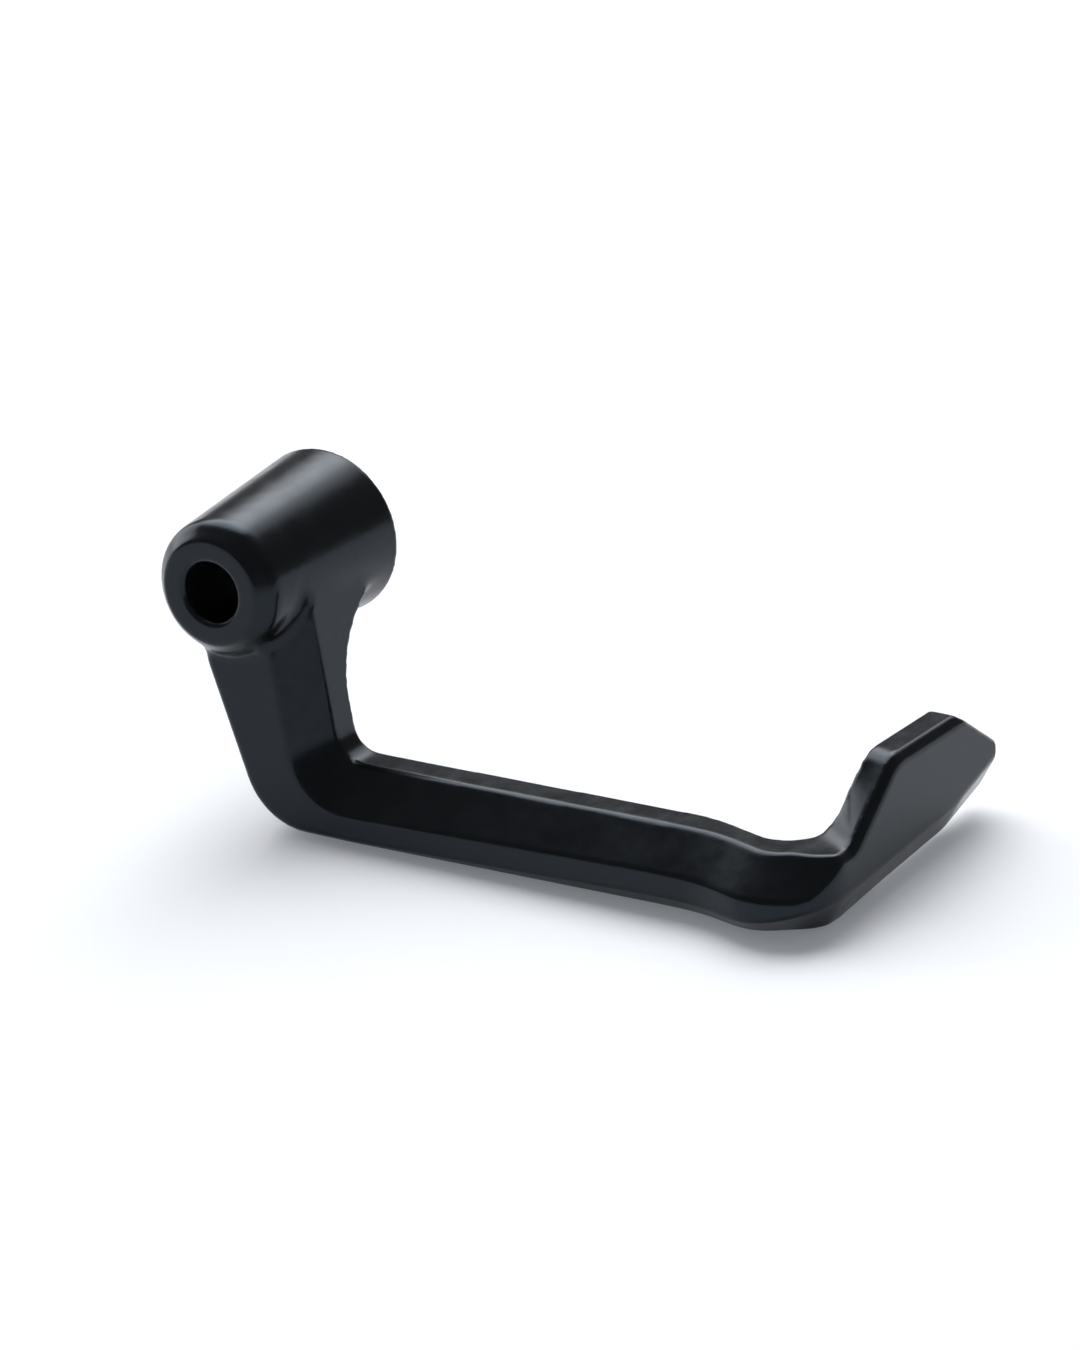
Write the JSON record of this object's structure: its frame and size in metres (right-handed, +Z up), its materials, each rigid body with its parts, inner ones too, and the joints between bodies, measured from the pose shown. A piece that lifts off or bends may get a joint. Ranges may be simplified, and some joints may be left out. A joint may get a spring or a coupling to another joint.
{
  "type": "brake lever guard",
  "caption": "Moulded guard for a motorbike's brake lever: a bored boss, a bent chamfered arm and an upright paddle in front of the lever's tip.",
  "frame": {"origin": "on the bolt's axis, in the middle of the outboard face of the boss", "axes": "+Y along the bore towards the handlebar, +X forward along the arm to the paddle, +Z up"},
  "size_m": [0.1061, 0.0513, 0.0463],
  "materials": {
    "moulded_nylon": "satin black moulded nylon"
  },
  "bodies": {
    "root": {"lever_guard": "moulded_nylon"}
  },
  "joints": []
}
